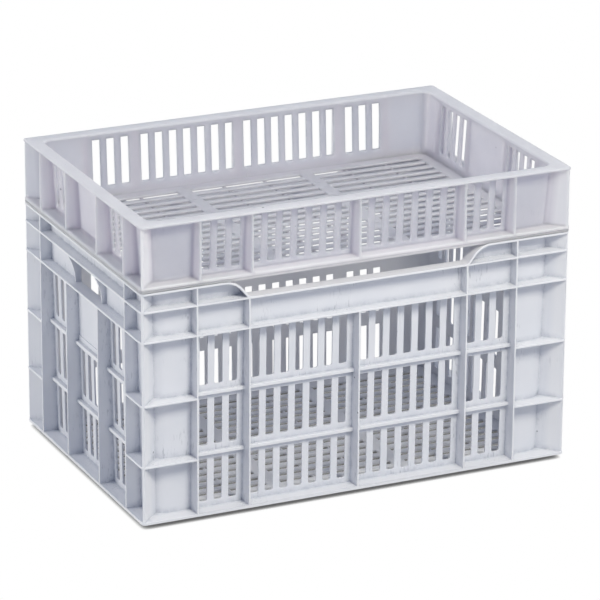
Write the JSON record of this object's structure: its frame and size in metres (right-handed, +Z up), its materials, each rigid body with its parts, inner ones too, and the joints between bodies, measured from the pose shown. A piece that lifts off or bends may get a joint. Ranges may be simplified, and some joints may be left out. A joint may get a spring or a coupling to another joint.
{
  "type": "ventilated food crate",
  "caption": "Deep ventilated stacking food crate with dipped long sides and a handhold in each short side, carrying a shallow ventilated tray on its rim that lifts off.",
  "frame": {"origin": "middle of the footprint, on the floor that the crate stands on", "axes": "+X along the length, +Y across the width, +Z up; the pictured long side faces -Y and the pictured short side -X"},
  "size_m": [0.6, 0.4, 0.402],
  "materials": {
    "crate_plastic": "satin moulded, off-white with a cool grey cast",
    "tray_plastic": "satin moulded, greyer, with a faint lilac cast"
  },
  "bodies": {
    "crate": {"deep_crate": "crate_plastic"},
    "tray": {"shallow_tray": "tray_plastic"}
  },
  "joints": [
    {"name": "tray_lift", "type": "slide", "parent": "crate", "child": "tray", "axis": [0, 0, 1], "range_m": [0, 0.25]}
  ]
}
